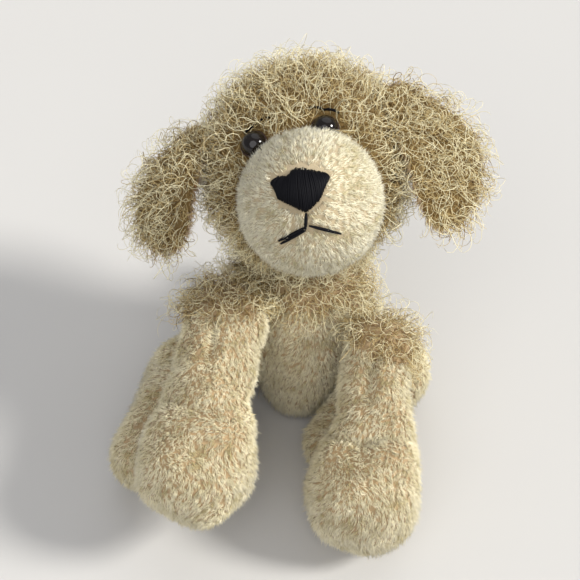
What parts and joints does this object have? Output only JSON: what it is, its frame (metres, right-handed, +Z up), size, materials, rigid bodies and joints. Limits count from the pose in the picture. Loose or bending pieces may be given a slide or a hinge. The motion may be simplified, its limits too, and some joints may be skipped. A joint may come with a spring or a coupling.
{
  "type": "plush puppy toy",
  "caption": "Sitting plush puppy with curly fur, hanging ears, a round short-haired muzzle, stitched nose and mouth, glossy eyes and floppy legs weighted with pellets.",
  "frame": {"origin": "on the surface the toy sits on, under the middle of its outline", "axes": "+Z up, the face and front legs towards -Y, the dog's own left side towards +X"},
  "size_m": [0.132, 0.1402, 0.1322],
  "materials": {
    "curly_pile": "long curly pile, slightly shiny",
    "short_plush": "short directional plush, matt",
    "ear_lining_plush": "short plush, matt",
    "stitch_thread": "satin-stitched thread",
    "eye_gloss": "polished",
    "eye_rim": "polished",
    "stuffing_fibre": "loose polyester fibre",
    "pellets": "small translucent beads",
    "washer_plastic": "moulded"
  },
  "bodies": {
    "torso": {"back_panel": "curly_pile", "belly_panel": "short_plush", "chest_panel": "curly_pile", "body_stuffing": "stuffing_fibre", "seat_pellets": "pellets"},
    "neck": {"neck_ruff": "curly_pile", "neck_stuffing": "stuffing_fibre"},
    "head": {"head_panel_left": "curly_pile", "head_panel_right": "curly_pile", "muzzle_panel": "short_plush", "head_stuffing": "stuffing_fibre", "nose_embroidery": "stitch_thread", "mouth_embroidery": "stitch_thread", "brow_stitches_left": "stitch_thread", "brow_stitches_right": "stitch_thread", "eye_left": "eye_gloss", "eye_right": "eye_gloss", "eye_washer_left": "washer_plastic", "eye_washer_right": "washer_plastic"},
    "ear_left": {"ear_outer_left": "curly_pile", "ear_lining_left": "ear_lining_plush"},
    "ear_right": {"ear_outer_right": "curly_pile", "ear_lining_right": "ear_lining_plush"},
    "front_leg_left": {"front_leg_top_left": "short_plush", "front_leg_under_left": "short_plush", "front_leg_stuffing_left": "stuffing_fibre", "front_paw_pellets_left": "pellets"},
    "front_leg_right": {"front_leg_top_right": "short_plush", "front_leg_under_right": "short_plush", "front_leg_stuffing_right": "stuffing_fibre", "front_paw_pellets_right": "pellets"},
    "hind_leg_left": {"hind_leg_top_left": "short_plush", "hind_leg_under_left": "short_plush", "hind_leg_stuffing_left": "stuffing_fibre", "hind_paw_pellets_left": "pellets"},
    "hind_leg_right": {"hind_leg_top_right": "short_plush", "hind_leg_under_right": "short_plush", "hind_leg_stuffing_right": "stuffing_fibre", "hind_paw_pellets_right": "pellets"},
    "tail": {"tail_cover": "curly_pile", "tail_stuffing": "stuffing_fibre"}
  },
  "joints": [
    {"name": "neck_turn", "type": "hinge", "parent": "torso", "child": "neck", "pos_m": [0.00485, 0.0327, 0.073], "axis": [0, 0, 1], "range_deg": [-22, 22]},
    {"name": "neck_nod", "type": "hinge", "parent": "neck", "child": "head", "pos_m": [0.00485, 0.0327, 0.073], "axis": [1, 0, 0], "range_deg": [-12, 12]},
    {"name": "ear_left_lift", "type": "hinge", "parent": "head", "child": "ear_left", "pos_m": [0.03365, 0.0489, 0.12345], "axis": [-0.1219, -0.7259, 0.6769], "range_deg": [0, 80]},
    {"name": "ear_right_lift", "type": "hinge", "parent": "head", "child": "ear_right", "pos_m": [-0.03159, 0.04523, 0.10777], "axis": [0.1219, 0.7259, -0.6769], "range_deg": [0, 80]},
    {"name": "front_leg_left_lift", "type": "hinge", "parent": "torso", "child": "front_leg_left", "pos_m": [0.03185, -0.0043, 0.048], "axis": [-1, 0, 0], "range_deg": [0, 55]},
    {"name": "front_leg_right_lift", "type": "hinge", "parent": "torso", "child": "front_leg_right", "pos_m": [-0.02335, 0.0005, 0.056], "axis": [-1, 0, 0], "range_deg": [0, 34]},
    {"name": "hind_leg_left_spread", "type": "hinge", "parent": "torso", "child": "hind_leg_left", "pos_m": [0.03935, 0.0087, 0.015], "axis": [0, 0, 1], "range_deg": [0, 6]},
    {"name": "hind_leg_right_spread", "type": "hinge", "parent": "torso", "child": "hind_leg_right", "pos_m": [-0.03665, 0.0017, 0.019], "axis": [0, 0, -1], "range_deg": [0, 35]},
    {"name": "tail_wag", "type": "hinge", "parent": "torso", "child": "tail", "pos_m": [0.00335, 0.0481, 0.015], "axis": [0, 0, 1], "range_deg": [-45, 45]}
  ]
}
